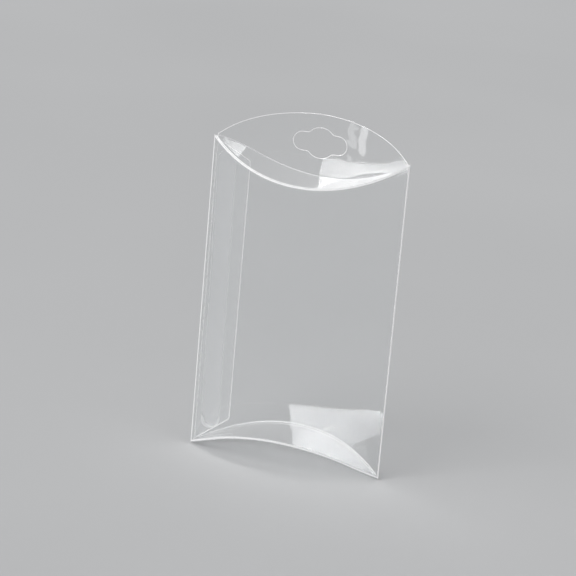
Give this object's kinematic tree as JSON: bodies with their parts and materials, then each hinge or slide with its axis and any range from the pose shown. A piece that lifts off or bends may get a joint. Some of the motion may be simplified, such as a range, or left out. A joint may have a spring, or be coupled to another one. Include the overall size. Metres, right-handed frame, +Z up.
{
  "type": "clear hanging pillow box",
  "caption": "Empty clear film pillow box with dished ends, folded flat flaps and a standing hang tab with a lobed hook hole.",
  "frame": {"origin": "middle of the hang hole, on the middle of the film, level with the two upper corners", "axes": "+X across the box to the right seen from the front, -Y out of the front, +Z up along the box when it hangs"},
  "size_m": [0.1002, 0.0311, 0.1764],
  "materials": {
    "clear_film": "clear and glossy",
    "clear_tape": "clear, slightly milky"
  },
  "bodies": {
    "box": {"sleeve": "clear_film", "glue_band": "clear_tape"},
    "closing_flap": {"top_flap": "clear_film"},
    "outer_bottom_flap": {"bottom_flap": "clear_film"}
  },
  "joints": [
    {"name": "top_flap_hinge", "type": "hinge", "parent": "box", "child": "closing_flap", "pos_m": [0, -0.0154, 0], "axis": [-1, 0, 0], "range_deg": [0, 90]},
    {"name": "bottom_flap_hinge", "type": "hinge", "parent": "box", "child": "outer_bottom_flap", "pos_m": [0, -0.0308, -0.1466], "axis": [-1, 0, 0], "range_deg": [0, 90]}
  ]
}
